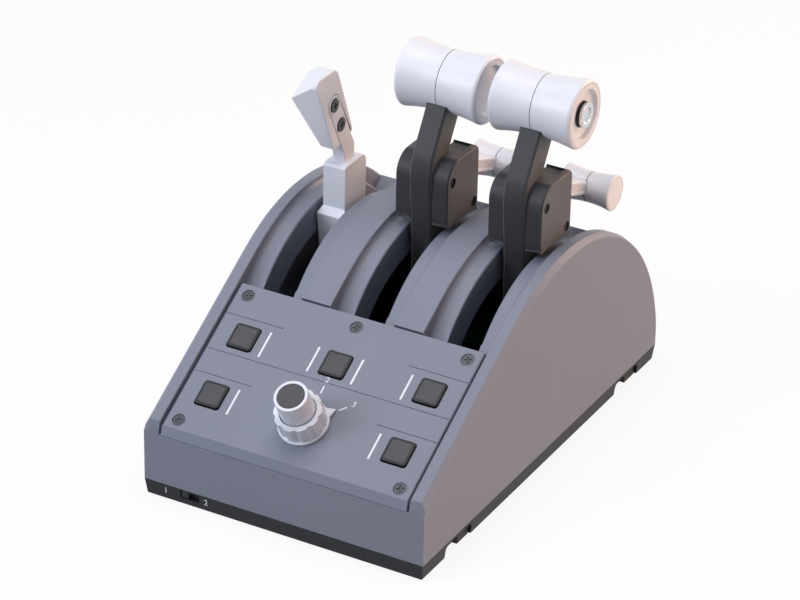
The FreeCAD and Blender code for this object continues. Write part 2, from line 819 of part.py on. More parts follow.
def spun(place, y, z, profile_edges):
    # a profile of (x, radius), spun round an X axis
    wire = Part.Wire(profile_edges)
    turned = Part.Face(wire).revolve(Vector(0, 0, 0), Vector(1, 0, 0), 360)
    return placed(turned, FreeCAD.Placement(Vector(place, y, z), FreeCAD.Rotation()))


def line(a, b):
    return Part.LineSegment(Vector(a[0], 0, a[1]), Vector(b[0], 0, b[1])).toShape()


def arc(a, b, c):
    return Part.Arc(Vector(a[0], 0, a[1]), Vector(b[0], 0, b[1]), Vector(c[0], 0, c[1])).toShape()


def handle_half_shape(side):
    # a waisted half grip with a rounded rim and a dished end
    bend = handle_end - handle_waist
    rim_x = handle_half - 2.6
    seam, rim = (0, handle_waist), (side * rim_x, handle_end)
    shoulder = (side * handle_half, handle_face)
    seam_out = (side * handle_half, handle_face - seam_inset)
    seam_low = (side * (handle_half - seam_depth), handle_face - seam_inset)
    seam_back = (side * (handle_half - seam_depth), handle_face - seam_inset - seam_width)
    seam_in = (side * handle_half, handle_face - seam_inset - seam_width)
    dish = (side * handle_half, handle_recess + dish_slope)
    dish_floor = (side * (handle_half - recess_depth), handle_recess)
    middle = (side * (handle_half - recess_depth), 0)
    return [
        line((0, 0), seam),
        arc(seam, (side * rim_x * 0.5, handle_waist + bend * 0.25), rim),
        arc(rim, (side * (handle_half - 0.7), handle_end - 0.55), shoulder),
        line(shoulder, seam_out), line(seam_out, seam_low), line(seam_low, seam_back),
        line(seam_back, seam_in), line(seam_in, dish), line(dish, dish_floor),
        line(dish_floor, middle),
        line(middle, (0, 0)),
    ]


def spool_half_shape(side):
    end = side * spool_half
    rise = spool_end - spool_waist
    inward = side * spool_rim
    rim = (end - inward, spool_end)
    shoulder = (end, spool_end - spool_rim)
    seam_r = spool_end - spool_rim - seam_inset
    seam_x = end - side * seam_depth
    return [
        line((0, 0), (0, spool_waist)),
        arc((0, spool_waist), (rim[0] * 0.5, spool_waist + rise * 0.25), rim),
        arc(rim, (end - inward * 0.3, spool_end - spool_rim * 0.3), shoulder),
        line(shoulder, (end, seam_r)), line((end, seam_r), (seam_x, seam_r)),
        line((seam_x, seam_r), (seam_x, seam_r - seam_width)),
        line((seam_x, seam_r - seam_width), (end, seam_r - seam_width)),
        line((end, seam_r - seam_width), (end, 0)), line((end, 0), (0, 0)),
    ]


grip_y = pivot_y + handle_y
grip_z = pivot_z + handle_z
drop_cos, drop_sin = turn(reverser_drop)
hinge_y = pivot_y + reverser_y
hinge_z = pivot_z + reverser_z
spool_y = hinge_y + reverser_length * drop_cos
spool_z = hinge_z - reverser_length * drop_sin


def bar_outline(extra, start, end):
    half = reverser_thickness / 2 + extra
    corners = [(start, -half), (start, half), (end, half), (end, -half)]
    return [(hinge_y + a * drop_cos + b * drop_sin, hinge_z - a * drop_sin + b * drop_cos)
            for a, b in corners]


def sideways(point, x):
    # a frame whose Z axis points along +X at a spot measured from the lever's pivot
    return FreeCAD.Placement(Vector(x, pivot_y + point[0], pivot_z + point[1]),
                             FreeCAD.Rotation(Vector(0, 1, 0), 90))


def thrust_lever(name, place, button_side):
    half_arm = arm_width / 2
    half_block = block_width / 2
    arm = slab(arm_outline(0), place - half_arm, place + half_arm)
    front_edges = edges_where(arm, lambda a, b: abs(a.x - b.x) < 0.01
                              and min(a.z, b.z) > pivot_z + arm_root_height - 1
                              and max(a.y - (a.z - pivot_z) * 0.5, b.y - (b.z - pivot_z) * 0.5)
                              < pivot_y - 50)
    arm = arm.makeChamfer(arm_chamfer, front_edges)
    arm = fused([arm] + hub(place, half_arm)).cut(shaft_bore)

    outer = box(place - half_block, place + half_block, pivot_y - block_front,
                pivot_y + block_rear, pivot_z + block_bottom_radius - 12, pivot_z + block_top)
    outer = rounded_along_x(outer, [
        (pivot_y - block_front, pivot_z + block_top, block_nose_round),
        (pivot_y + block_rear, pivot_z + block_top, block_rear_round)])
    for side in (-1, 1):
        face_x = place + side * half_block
        outer = outer.makeChamfer(block_edge, edges_where(
            outer, lambda a, b: max(abs(a.x - face_x), abs(b.x - face_x)) < 0.01))
    below = rod(place - half_width, place + half_width, pivot_y, pivot_z, block_bottom_radius)
    inner_half = half_block - block_wall
    room = box(place - inner_half, place + inner_half, pivot_y - block_front + block_wall,
               pivot_y + block_rear - block_wall, pivot_z + block_bottom_radius - 20,
               pivot_z + block_top - block_wall)
    room = rounded_along_x(room, [(pivot_y - block_front + block_wall,
                                   pivot_z + block_top - block_wall,
                                   block_nose_round - block_wall)])
    bosses = [rod(place - inner_half, place + inner_half, pivot_y + y, pivot_z + z,
                  screw_boss_radius) for y, z in (block_screw_front, block_screw_rear)]
    bar_left = place + reverser_right - reverser_width
    bar_right = place + reverser_right
    pin_boss = reverser_hub - 0.4
    bosses.append(rod(place - inner_half, bar_left - small_gap, hinge_y, hinge_z, pin_boss))
    bosses.append(rod(bar_right + small_gap, place + inner_half, hinge_y, hinge_z, pin_boss))
    block = outer.cut(below).cut(room.cut(bosses))
    bar_floor = bar_outline(0, 0, block_rear)[3][1]
    rear_floor = hinge_z - (block_rear - reverser_y) * drop_sin / drop_cos
    rear_floor -= reverser_thickness / 2 / drop_cos + 2 * small_gap
    cuts = [
        slab(arm_outline(tight_gap), place - half_arm - tight_gap, place + half_arm + tight_gap),
        box(place - inner_half, place + inner_half, pivot_y + window_front,
            pivot_y + block_rear - block_wall, pivot_z + block_top - block_wall - 1, far),
        box(bar_left - 2 * small_gap, bar_right + 2 * small_gap, pivot_y + window_front,
            pivot_y + block_rear + 1, rear_floor, far),
        rod(place - inner_half - 1, place + inner_half + 1, hinge_y, hinge_z,
            reverser_pin + tight_gap),
    ]
    block_screws = []
    head_x = place + half_block - 1.0
    screw_length = block_width - 8.0
    for point in (block_screw_front, block_screw_rear):
        frame = sideways(point, head_x)
        cuts.append(placed(screw_hole(small_head, small_shank, screw_length + head_height,
                                      tight_gap), frame))
        block_screws.append(placed(screw(small_head, small_shank, screw_length), frame))
        arm = arm.cut(placed(post(0, 0, -block_width, 0, small_shank + small_gap), frame))
    block = block.cut(cuts)
    add(name + "_thrust_arm", [arm])
    left_side = box(place - half_width, place, -far, far, 0, far)
    right_side = box(place, place + half_width, -far, far, 0, far)
    add(name + "_block_left", [block.common(left_side)])
    add(name + "_block_right", [block.common(right_side)])
    add(name + "_block_screws", block_screws)
    add(name + "_reverser_pin", [rod(place - inner_half - 1 + tight_gap,
                                     place + inner_half + 1 - tight_gap,
                                     hinge_y, hinge_z, reverser_pin)])

    arm_room = slab(arm_outline(tight_gap), place - half_arm - tight_gap,
                    place + half_arm + tight_gap)
    for side, label in ((-1, "left"), (1, "right")):
        half = spun(place, grip_y, grip_z, handle_half_shape(side)).cut(arm_room)
        if side == button_side:
            floor = handle_half - recess_depth
            deep = place + side * (floor - collar_depth)
            face = place + side * (floor + 1)
            half = half.cut(rod(min(deep, face), max(deep, face), grip_y, grip_z,
                                collar_radius + tight_gap))
        add(name + "_handle_" + label, [half])

    floor = handle_half - recess_depth
    span = sorted((place + button_side * (floor - collar_depth), place + button_side * (floor + collar_proud)))
    collar = rod(span[0], span[1], grip_y, grip_z, collar_radius)
    collar = collar.cut(rod(span[0] - 1, span[1] + 1, grip_y, grip_z, collar_bore))
    add(name + "_button_collar", [collar])
    under = floor + collar_proud + button_travel + 0.2
    span = sorted((place + button_side * under, place + button_side * (under + button_height)))
    head = rod(span[0], span[1], grip_y, grip_z, button_radius)
    span = sorted((place + button_side * (under - collar_depth + 1.5), place + button_side * under))
    plunger = rod(span[0], span[1], grip_y, grip_z, collar_bore - tight_gap)
    button = fused([head, plunger])
    outer_face = place + button_side * (under + button_height)
    dish_end = outer_face - button_side * dimple_depth
    button = button.cut(rod(min(outer_face, dish_end), max(outer_face, dish_end),
                            grip_y, grip_z, dimple_radius))
    add(name + "_button", [button])

    bar = slab(bar_outline(0, 0, reverser_length + 4), bar_left, bar_right)
    bar = fused([bar, rod(bar_left, bar_right, hinge_y, hinge_z, reverser_hub)])
    bar = bar.cut(rod(bar_left - 1, bar_right + 1, hinge_y, hinge_z, reverser_pin + tight_gap))
    channel_start = reverser_hub + 3
    channel_end = reverser_length - spool_waist - 2
    channel = [(hinge_y + a * drop_cos + b * drop_sin, hinge_z - a * drop_sin + b * drop_cos)
               for a, b in ((channel_start, -channel_half), (channel_start, channel_half),
                            (channel_end, channel_half), (channel_end, -channel_half))]
    bar = bar.cut(slab(channel, bar_right - channel_depth, bar_right + 1))
    add(name + "_reverser_arm", [bar])
    bar_room = slab(bar_outline(tight_gap, 0, reverser_length + 4 + tight_gap),
                    bar_left - tight_gap, bar_right + tight_gap)
    for side, label in ((-1, "left"), (1, "right")):
        spool = spun(place, spool_y, spool_z, spool_half_shape(side)).cut(bar_room)
        add(name + "_reverser_knob_" + label, [spool])


thrust_lever("left", lever_places["left"], -1)
thrust_lever("right", lever_places["right"], 1)

# ---- speedbrake lever ----
place = lever_places["speedbrake"]
half_root = brake_root_width / 2
half_upper = brake_block_width / 2
half_neck = neck_width / 2
root = slab(from_pivot([(-sleeve_radius, 0), (-brake_root_front + 3, arm_root_height - 22),
                        (-brake_root_front, brake_root_top - brake_shoulder),
                        (brake_root_rear, brake_root_top - brake_shoulder),
                        (brake_root_rear - 3, arm_root_height - 22), (sleeve_radius, 0)]),
            place - half_root, place + half_root)


def level_frame(half, y_front, y_rear, height):
    corners = [(place - half, y_front), (place + half, y_front),
               (place + half, y_rear), (place - half, y_rear)]
    points = [Vector(x, pivot_y + y, pivot_z + height) for x, y in corners]
    return Part.makePolygon(points + points[:1])


shoulder = Part.makeLoft([
    level_frame(half_root, -brake_root_front, brake_root_rear, brake_root_top - brake_shoulder),
    level_frame(half_upper, -brake_block_front, brake_block_rear - 2, brake_root_top + 1)], True, True)
upper_block = box(place - half_upper, place + half_upper, pivot_y - brake_block_front,
                  pivot_y + brake_block_rear, pivot_z + brake_root_top, pivot_z + brake_block_top)
upper_block = rounded_along_x(upper_block, [
    (pivot_y - brake_block_front, pivot_z + brake_block_top, 2.5),
    (pivot_y + brake_block_rear, pivot_z + brake_block_top, 5.0)])
neck_cos, neck_sin = turn(neck_lean)
bend_front = (-neck_front, neck_bend - 3)


def neck_point(along, across):
    # a spot in the leaning part of the neck: along the lean, and across toward the rear
    return (bend_front[0] - along * neck_sin + across * neck_cos,
            bend_front[1] + along * neck_cos + across * neck_sin)


def neck_outline(extra):
    foot = brake_block_top - 1
    return from_pivot([
        (-neck_front - extra, foot), (bend_front[0] - extra, bend_front[1] - extra / 2),
        neck_point(neck_split + extra, -extra), neck_point(neck_split + extra, neck_depth + extra),
        (neck_depth - neck_front + extra, neck_bend + extra),
        (neck_depth - neck_front + extra, foot)])


neck = slab(neck_outline(0), place - half_neck, place + half_neck)
strip_outline = from_pivot([neck_point(0, 0), neck_point(strip_length, 0),
                            neck_point(strip_length, neck_depth), neck_point(neck_split, neck_depth)])
strip_right = place + half_neck
strip_left = strip_right - strip_thickness
strip = slab(strip_outline, strip_left, strip_right)
strip = rounded_along_x(strip, [strip_outline[1] + (strip_round,),
                                strip_outline[2] + (strip_round,)])
brake = fused([root, shoulder, upper_block, neck, strip] + hub(place, half_root)).cut(shaft_bore)

# the grip is a paddle: flat on the right, flaring to the left, with a slanted top
grip_lean = 24.2
grip_cos, grip_sin = turn(grip_lean)
grip_outline = from_pivot([(-13.7, 130.3), (-36.4, 181.6), (-11.0, 181.6), (8.1, 134.7)])
grip_right = place + half_neck - 0.1
grip_body = slab(grip_outline, grip_right - grip_top_width, grip_right)
grip_body = rounded_along_x(grip_body, [
    (grip_outline[1][0], grip_outline[1][1], 4.0), (grip_outline[2][0], grip_outline[2][1], 7.0),
    (grip_outline[0][0], grip_outline[0][1], 3.0), (grip_outline[3][0], grip_outline[3][1], 3.0)])
taper = [(1.0, -12.0), (1.0, grip_long + 0.8), (-grip_top_width, grip_short),
         (-grip_foot_width, 0.0), (-grip_foot_width, -12.0)]
taper_points = [Vector(a, -40, b) for a, b in taper]
taper_block = Part.Face(Part.makePolygon(taper_points + taper_points[:1])).extrude(Vector(0, 80, 0))
grip_foot = ((grip_outline[0][0] + grip_outline[3][0]) / 2,
             (grip_outline[0][1] + grip_outline[3][1]) / 2)
taper_block = placed(taper_block, FreeCAD.Placement(
    Vector(grip_right, grip_foot[0], grip_foot[1]), FreeCAD.Rotation(Vector(1, 0, 0), grip_lean)))
paddle = grip_body.common(taper_block)
paddle = paddle.removeSplitter()
strip_room = slab(from_pivot([
    neck_point(-neck_split, -small_gap), neck_point(strip_length + small_gap, -small_gap),
    neck_point(strip_length + small_gap, neck_depth + small_gap),
    neck_point(-neck_split, neck_depth + small_gap)]),
    strip_left - tight_gap, strip_right + 1)
lean_corners = from_pivot([neck_point(strip_length + small_gap, -small_gap),
                           neck_point(strip_length + small_gap, neck_depth + small_gap)])
strip_room = rounded_along_x(strip_room, [corner + (strip_round,) for corner in lean_corners])
neck_room = slab(neck_outline(small_gap), place - half_neck - 2, place + half_neck + 2)
paddle = paddle.cut([strip_room, neck_room])
middle_depth = neck_depth / 2
grip_screws = []
for along in (21.0, 38.0):
    spot = neck_point(along, middle_depth)
    frame = sideways(spot, strip_right + 0.5)
    grip_screws.append(placed(screw(panel_head - 0.2, panel_shank, 6.0), frame))
    hole = placed(screw_hole(panel_head - 0.2, panel_shank, 9.0, tight_gap), frame)
    brake = brake.cut(hole)
    paddle = paddle.cut(hole)
add("speedbrake_lever", [brake])
add("speedbrake_grip", [paddle])
add("speedbrake_grip_screws", grip_screws)

os.makedirs("parts", exist_ok=True)
for name, shape in nodes.items():
    shape.exportStep("parts/" + name + ".step")
    print(name, len(shape.Solids), round(shape.Volume, 1), shape.isValid())
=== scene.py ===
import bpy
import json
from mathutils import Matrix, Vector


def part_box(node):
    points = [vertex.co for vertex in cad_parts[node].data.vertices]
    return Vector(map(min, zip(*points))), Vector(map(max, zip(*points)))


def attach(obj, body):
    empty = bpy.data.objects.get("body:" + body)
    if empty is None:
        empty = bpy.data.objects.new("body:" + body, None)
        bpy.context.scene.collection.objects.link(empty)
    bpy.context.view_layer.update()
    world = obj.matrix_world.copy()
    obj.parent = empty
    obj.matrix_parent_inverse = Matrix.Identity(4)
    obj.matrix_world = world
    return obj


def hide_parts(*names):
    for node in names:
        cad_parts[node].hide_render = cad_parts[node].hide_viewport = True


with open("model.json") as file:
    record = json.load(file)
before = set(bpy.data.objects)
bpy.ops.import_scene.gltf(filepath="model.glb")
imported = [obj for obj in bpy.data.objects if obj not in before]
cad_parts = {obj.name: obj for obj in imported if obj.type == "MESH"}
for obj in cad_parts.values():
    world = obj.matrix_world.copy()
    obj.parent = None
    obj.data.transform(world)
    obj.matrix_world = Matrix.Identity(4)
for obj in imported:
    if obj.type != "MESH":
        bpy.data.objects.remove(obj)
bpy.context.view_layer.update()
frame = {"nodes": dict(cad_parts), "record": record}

import json
import math
import bpy
from mathutils import Euler, Matrix, Vector

mm = 0.001
nodes = frame["nodes"]
bodyOf = {node: body for body, members in frame["record"]["behaviour"]["bodies"].items()
          for node in members}


def say(stage):
    print("stage:", stage)


def linear(hexText):
    # an sRGB hex colour turned to the linear values that shaders take
    values = []
    for start in (1, 3, 5):
        share = int(hexText[start:start + 2], 16) / 255
        values.append(share / 12.92 if share <= 0.04045 else ((share + 0.055) / 1.055) ** 2.4)
    return (*values, 1.0)


def addNode(tree, kind, settings=None, links=None):
    # settings name a property or an input socket; links name an input and the socket it takes
    node = tree.nodes.new(kind)
    for name, value in (settings or {}).items():
        if hasattr(node, name):
            setattr(node, name, value)
        else:
            node.inputs[name].default_value = value
    for name, socket in (links or {}).items():
        tree.links.new(socket, node.inputs[name])
    return node


def newMaterial(name):
    material = bpy.data.materials.new(name)
    material.use_nodes = True
    material.node_tree.nodes.clear()
    return material, material.node_tree


def perMetre(sizeMm):
    return 1 / (sizeMm * mm)


# where a Mix node set to colour keeps its two colours and its result
mixFrom, mixTo, mixResult = 6, 7, 2

plasticSkin = {"driftDetail": 3.0, "grainDetail": 2.0, "grainRoughness": 0.6,
               "depthShare": 0.25, "sheenRoughness": 0.45}


def mouldedPlastic(name, look):
    # a spark-eroded mould leaves a fine even grain, with slow drifts in tone and gloss;
    # the grain is drawn coarser than a real mould's, which would be too fine to show
    material, tree = newMaterial(name)
    place = addNode(tree, "ShaderNodeTexCoord").outputs["Object"]
    drift = addNode(tree, "ShaderNodeTexNoise",
                    {"Scale": perMetre(look["driftMm"]), "Detail": plasticSkin["driftDetail"]},
                    {"Vector": place})
    grain = addNode(tree, "ShaderNodeTexNoise",
                    {"Scale": perMetre(look["grainMm"]), "Detail": plasticSkin["grainDetail"],
                     "Roughness": plasticSkin["grainRoughness"]},
                    {"Vector": place})
    tone = addNode(tree, "ShaderNodeMix", {"data_type": "RGBA"},
                   {"Factor": drift.outputs["Fac"]})
    tone.inputs[mixFrom].default_value = linear(look["shade"])
    tone.inputs[mixTo].default_value = linear(look["colour"])
    gloss = addNode(tree, "ShaderNodeMapRange",
                    {"To Min": look["roughness"] - look["spread"],
                     "To Max": look["roughness"] + look["spread"]},
                    {"Value": grain.outputs["Fac"]})
    bump = addNode(tree, "ShaderNodeBump",
                   {"Strength": look["grainStrength"],
                    "Distance": look["grainMm"] * plasticSkin["depthShare"] * mm},
                   {"Height": grain.outputs["Fac"]})
    shader = addNode(tree, "ShaderNodeBsdfPrincipled",
                     {"IOR": look.get("ior", 1.5), "Coat Weight": look.get("coat", 0.0),
                      "Coat Roughness": look.get("coatRoughness", 0.3),
                      "Sheen Weight": look.get("sheen", 0.0),
                      "Sheen Roughness": plasticSkin["sheenRoughness"],
                      "Transmission Weight": look.get("transmission", 0.0),
                      "Subsurface Weight": look.get("subsurface", 0.0),
                      "Subsurface Scale": look.get("subsurfaceMm", 1.0) * mm},
                     {"Base Color": tone.outputs[mixResult], "Roughness": gloss.outputs["Result"],
                      "Normal": bump.outputs["Normal"]})
    addNode(tree, "ShaderNodeOutputMaterial", None, {"Surface": shader.outputs["BSDF"]})
    return material


latheRings = {"detail": 3.0, "strength": 0.15, "depthMm": 0.02}


def turnedMetal(name, look):
    # a lathe leaves fine rings; here a stretched noise stands for them
    material, tree = newMaterial(name)
    place = addNode(tree, "ShaderNodeTexCoord").outputs["Object"]
    stretch = addNode(tree, "ShaderNodeMapping", {"Scale": look["stretch"]}, {"Vector": place})
    rings = addNode(tree, "ShaderNodeTexNoise",
                    {"Scale": perMetre(look["grainMm"]), "Detail": latheRings["detail"]},
                    {"Vector": stretch.outputs["Vector"]})
    gloss = addNode(tree, "ShaderNodeMapRange",
                    {"To Min": look["roughness"] - look["spread"],
                     "To Max": look["roughness"] + look["spread"]},
                    {"Value": rings.outputs["Fac"]})
    tone = addNode(tree, "ShaderNodeMix", {"data_type": "RGBA"},
                   {"Factor": rings.outputs["Fac"]})
    tone.inputs[mixFrom].default_value = linear(look["shade"])
    tone.inputs[mixTo].default_value = linear(look["colour"])
    bump = addNode(tree, "ShaderNodeBump", {"Strength": latheRings["strength"],
                                            "Distance": latheRings["depthMm"] * mm},
                   {"Height": rings.outputs["Fac"]})
    shader = addNode(tree, "ShaderNodeBsdfPrincipled", {"Metallic": look["metallic"]},
                     {"Base Color": tone.outputs[mixResult], "Roughness": gloss.outputs["Result"],
                      "Normal": bump.outputs["Normal"]})
    addNode(tree, "ShaderNodeOutputMaterial", None, {"Surface": shader.outputs["BSDF"]})
    return material


plasticLooks = {
    # textured ABS: matt slate grey with a hint of blue
    "texturedSlateAbs": {"colour": "#808593", "shade": "#7a7f8d", "roughness": 0.5, "spread": 0.05,
                         "grainMm": 0.5, "grainStrength": 0.2, "driftMm": 60},
    # dark ABS: near black with a soft sheen
    "satinCharcoalAbs": {"colour": "#25282e", "shade": "#212429", "roughness": 0.45, "spread": 0.05,
                         "grainMm": 0.5, "grainStrength": 0.15, "driftMm": 40, "ior": 1.36,
                         "sheen": 0.5},
    # black ABS: deeper than the charcoal, and matt
    "texturedBlackAbs": {"colour": "#1d1f25", "shade": "#191b20", "roughness": 0.55, "spread": 0.05,
                         "grainMm": 0.5, "grainStrength": 0.25, "driftMm": 40, "ior": 1.36},
    # white ABS: smooth, with light creeping a little way in
    "satinWhiteAbs": {"colour": "#eceff6", "shade": "#e6e9f0", "roughness": 0.34, "spread": 0.04,
                      "grainMm": 0.7, "grainStrength": 0.05, "driftMm": 50,
                      "subsurface": 0.1, "subsurfaceMm": 1.5},
    # frosted polycarbonate: cloudy, cool and half see-through
    "frostedPolycarbonate": {"colour": "#e8eef8", "shade": "#dbe2ee", "roughness": 0.3,
                             "spread": 0.05, "grainMm": 0.6, "grainStrength": 0.1, "driftMm": 8,
                             "ior": 1.58, "transmission": 0.2, "subsurface": 0.2,
                             "subsurfaceMm": 3.0},
    # moulded rubber: dull, nearly without gloss
    "mouldedRubber": {"colour": "#1c1c1e", "shade": "#161618", "roughness": 0.75, "spread": 0.08,
                      "grainMm": 0.8, "grainStrength": 0.3, "driftMm": 15},
    # glass-epoxy board: green lacquer with some shine
    "circuitLaminate": {"colour": "#0f4a2c", "shade": "#0c3d24", "roughness": 0.35, "spread": 0.05,
                        "grainMm": 1.2, "grainStrength": 0.1, "driftMm": 10},
    # pad-printed ink: flat white with a trace of grain
    "printedWhiteInk": {"colour": "#f4f5f8", "shade": "#eceef2", "roughness": 0.5, "spread": 0.05,
                        "grainMm": 0.4, "grainStrength": 0.1, "driftMm": 5},
}
metalLooks = {
    # turned stainless steel: bright, with fine rings
    "turnedStainlessSteel": {"colour": "#d9dadc", "shade": "#c6c7ca", "roughness": 0.22,
                             "spread": 0.05, "grainMm": 0.4, "metallic": 1.0,
                             "stretch": (1.0, 6.0, 6.0)},
    # black-oxide steel: dark grey screws with a low gloss
    "blackOxideSteel": {"colour": "#54565b", "shade": "#3d3f44", "roughness": 0.4, "spread": 0.08,
                        "grainMm": 0.5, "metallic": 0.85, "stretch": (3.0, 3.0, 3.0)},
    # turned brass: warm and bright, for the threaded inserts
    "turnedBrass": {"colour": "#d8b66a", "shade": "#c7a257", "roughness": 0.28, "spread": 0.05,
                    "grainMm": 0.4, "metallic": 1.0, "stretch": (6.0, 6.0, 1.0)},
}
finish = {name: mouldedPlastic(name, look) for name, look in plasticLooks.items()}
finish.update({name: turnedMetal(name, look) for name, look in metalLooks.items()})


# colour is for the rib crests, shade is the painted shade in the rib troughs
keyTop = {"colour": "#43464b", "shade": "#292b2f", "roughness": 0.5, "turnDegrees": 52,
          "waveMm": 4.2, "waveBend": 9.0, "waveDetail": 2.0, "bendDetail": 2.0,
          "grainMm": 0.5, "grainDetail": 2.0, "grainShare": 0.4,
          "strength": 0.8, "depthMm": 0.16}


def keyPlastic(look):
    # moulded key tops with slanted wavy ribs: a wave repeats at 0.314 of waveMm, every 1.3 mm
    material, tree = newMaterial("ribbedKeyAbs")
    place = addNode(tree, "ShaderNodeTexCoord").outputs["Object"]
    turned = addNode(tree, "ShaderNodeMapping",
                     {"Rotation": (0, 0, math.radians(look["turnDegrees"]))}, {"Vector": place})
    ribs = addNode(tree, "ShaderNodeTexWave",
                   {"Scale": perMetre(look["waveMm"]), "Distortion": look["waveBend"],
                    "Detail": look["waveDetail"], "Detail Scale": look["bendDetail"]},
                   {"Vector": turned.outputs["Vector"]})
    grain = addNode(tree, "ShaderNodeTexNoise",
                    {"Scale": perMetre(look["grainMm"]), "Detail": look["grainDetail"]},
                    {"Vector": place})
    relief = addNode(tree, "ShaderNodeMix", {"Factor": look["grainShare"]},
                     {"A": ribs.outputs["Fac"], "B": grain.outputs["Fac"]})
    bump = addNode(tree, "ShaderNodeBump",
                   {"Strength": look["strength"], "Distance": look["depthMm"] * mm},
                   {"Height": relief.outputs["Result"]})
    # the top's colour follows the relief, darker in the rib troughs and lighter on the crests:
    # painted shade in the troughs
    tone = addNode(tree, "ShaderNodeMix", {"data_type": "RGBA"},
                   {"Factor": relief.outputs["Result"]})
    tone.inputs[mixFrom].default_value = linear(look["shade"])
    tone.inputs[mixTo].default_value = linear(look["colour"])
    shader = addNode(tree, "ShaderNodeBsdfPrincipled", {"Roughness": look["roughness"]},
                     {"Base Color": tone.outputs[mixResult], "Normal": bump.outputs["Normal"]})
    addNode(tree, "ShaderNodeOutputMaterial", None, {"Surface": shader.outputs["BSDF"]})
    return material


finish["ribbedKeyAbs"] = keyPlastic(keyTop)
say("materials")


def pickNothing():
    bpy.ops.object.select_all(action="DESELECT")


def makeActive(piece):
    pickNothing()
    piece.select_set(True)
    bpy.context.view_layer.objects.active = piece


def inEdit(piece, work):
    makeActive(piece)
    bpy.ops.object.mode_set(mode="EDIT")
    bpy.ops.mesh.select_all(action="SELECT")
    work()
    bpy.ops.object.mode_set(mode="OBJECT")


def addBlock(name, sizes):
    # a block of three sizes in millimetres, with its scale put into its mesh
    pickNothing()
    bpy.ops.mesh.primitive_cube_add(size=1)
    block = bpy.context.active_object
    block.name = name
    block.dimensions = [size * mm for size in sizes]
    bpy.ops.object.transform_apply(location=False, rotation=False, scale=True)
    return block


merge = {"reachMm": 0.002, "flatDegrees": 0.4}


def cleanCopy():
    bpy.ops.mesh.remove_doubles(threshold=merge["reachMm"] * mm)
    bpy.ops.mesh.dissolve_limited(angle_limit=math.radians(merge["flatDegrees"]))


def evenNormals(piece, smoothDegrees=32):
    # flat faces stay flat beside their rounded edges
    makeActive(piece)
    bpy.ops.object.shade_smooth_by_angle(angle=math.radians(smoothDegrees))
    even = piece.modifiers.new("even", "WEIGHTED_NORMAL")
    even.keep_sharp = True
    bpy.ops.object.modifier_apply(modifier="even")


def breakEdges(piece, widthMm, overDegrees, clamp):
    # a narrow two-step bevel on every edge sharper than the angle
    edge = piece.modifiers.new("edge", "BEVEL")
    edge.width = widthMm * mm
    edge.segments = 2
    edge.limit_method = "ANGLE"
    edge.angle_limit = math.radians(overDegrees)
    edge.use_clamp_overlap = clamp
    makeActive(piece)
    bpy.ops.object.modifier_apply(modifier="edge")


def pickEdges(piece, wanted):
    # leaves selected the edges whose two ends, in millimetres, pass the test together
    makeActive(piece)
    bpy.ops.object.mode_set(mode="EDIT")
    bpy.ops.mesh.select_mode(type="EDGE")
    bpy.ops.mesh.select_all(action="DESELECT")
    bpy.ops.object.mode_set(mode="OBJECT")
    count = 0
    for edge in piece.data.edges:
        ends = [piece.data.vertices[index].co / mm for index in edge.vertices]
        edge.select = wanted(*ends)
        count += edge.select
    return count


def roundPicked(piece, offsetMm, segments):
    makeActive(piece)
    bpy.ops.object.mode_set(mode="EDIT")
    bpy.ops.mesh.bevel(offset=offsetMm * mm, segments=segments, affect="EDGES",
                       clamp_overlap=False)
    bpy.ops.object.mode_set(mode="OBJECT")


mouldEdge = {"overDegrees": 40}


def softenedCopy(nodeName, pieceName, finishName, edgeMm, reshape=None):
    # the node's own shape with its sharp edges broken, as a mould leaves them
    source = nodes[nodeName]
    makeActive(source)
    bpy.ops.object.duplicate()
    piece = bpy.context.active_object
    piece.name = pieceName
    piece.data.name = pieceName
    piece.parent = None
    for key in list(piece.keys()):
        del piece[key]
    makeActive(piece)
    bpy.ops.mesh.customdata_custom_splitnormals_clear()
    piece.data.materials.clear()
    piece.data.materials.append(finish[finishName])
    inEdit(piece, cleanCopy)
    if reshape:
        reshape(piece, nodeName)
    if edgeMm:
        breakEdges(piece, edgeMm, mouldEdge["overDegrees"], False)
    evenNormals(piece)
    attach(piece, bodyOf[nodeName])
    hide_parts(nodeName)
    return piece


def carve(piece, cutter):
    cut = piece.modifiers.new("carve", "BOOLEAN")
    cut.operation = "DIFFERENCE"
    cut.solver = "EXACT"
    cut.object = cutter
    makeActive(piece)
    bpy.ops.object.modifier_apply(modifier="carve")
    bpy.data.objects.remove(cutter)


# the panel's own frame: across, up the slope, and out of its face
panel = {"slope": 30.6, "frontY": -142.55, "frontZ": 47.951}
panelFrame = (Matrix.Translation((0, panel["frontY"] * mm, panel["frontZ"] * mm))
              @ Matrix.Rotation(math.radians(panel["slope"]), 4, "X"))

keyHole = {"half": 8.25, "slack": 0.5, "drift": 0.1, "depth": 1, "corner": 2.0, "steps": 5}
keyNames = ("upper_left", "upper_middle", "upper_right", "lower_left", "lower_right")


def roundKeyHoles(piece, nodeName):
    # the panel's key openings have round corners, as the caps do
    toPanel = panelFrame.inverted()
    centres = [toPanel @ (sum(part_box("key_" + name), Vector()) / 2) / mm for name in keyNames]

    def atCorner(a, b):
        first, second = toPanel @ (a * mm) / mm, toPanel @ (b * mm) / mm
        if ((first.xy - second.xy).length > keyHole["drift"]
                or abs(first.z - second.z) < keyHole["depth"]):
            return False
        return any(abs(abs(first.x - spot.x) - keyHole["half"]) < keyHole["slack"]
                   and abs(abs(first.y - spot.y) - keyHole["half"]) < keyHole["slack"]
                   for spot in centres)

    if pickEdges(piece, atCorner):
        roundPicked(piece, keyHole["corner"], keyHole["steps"])


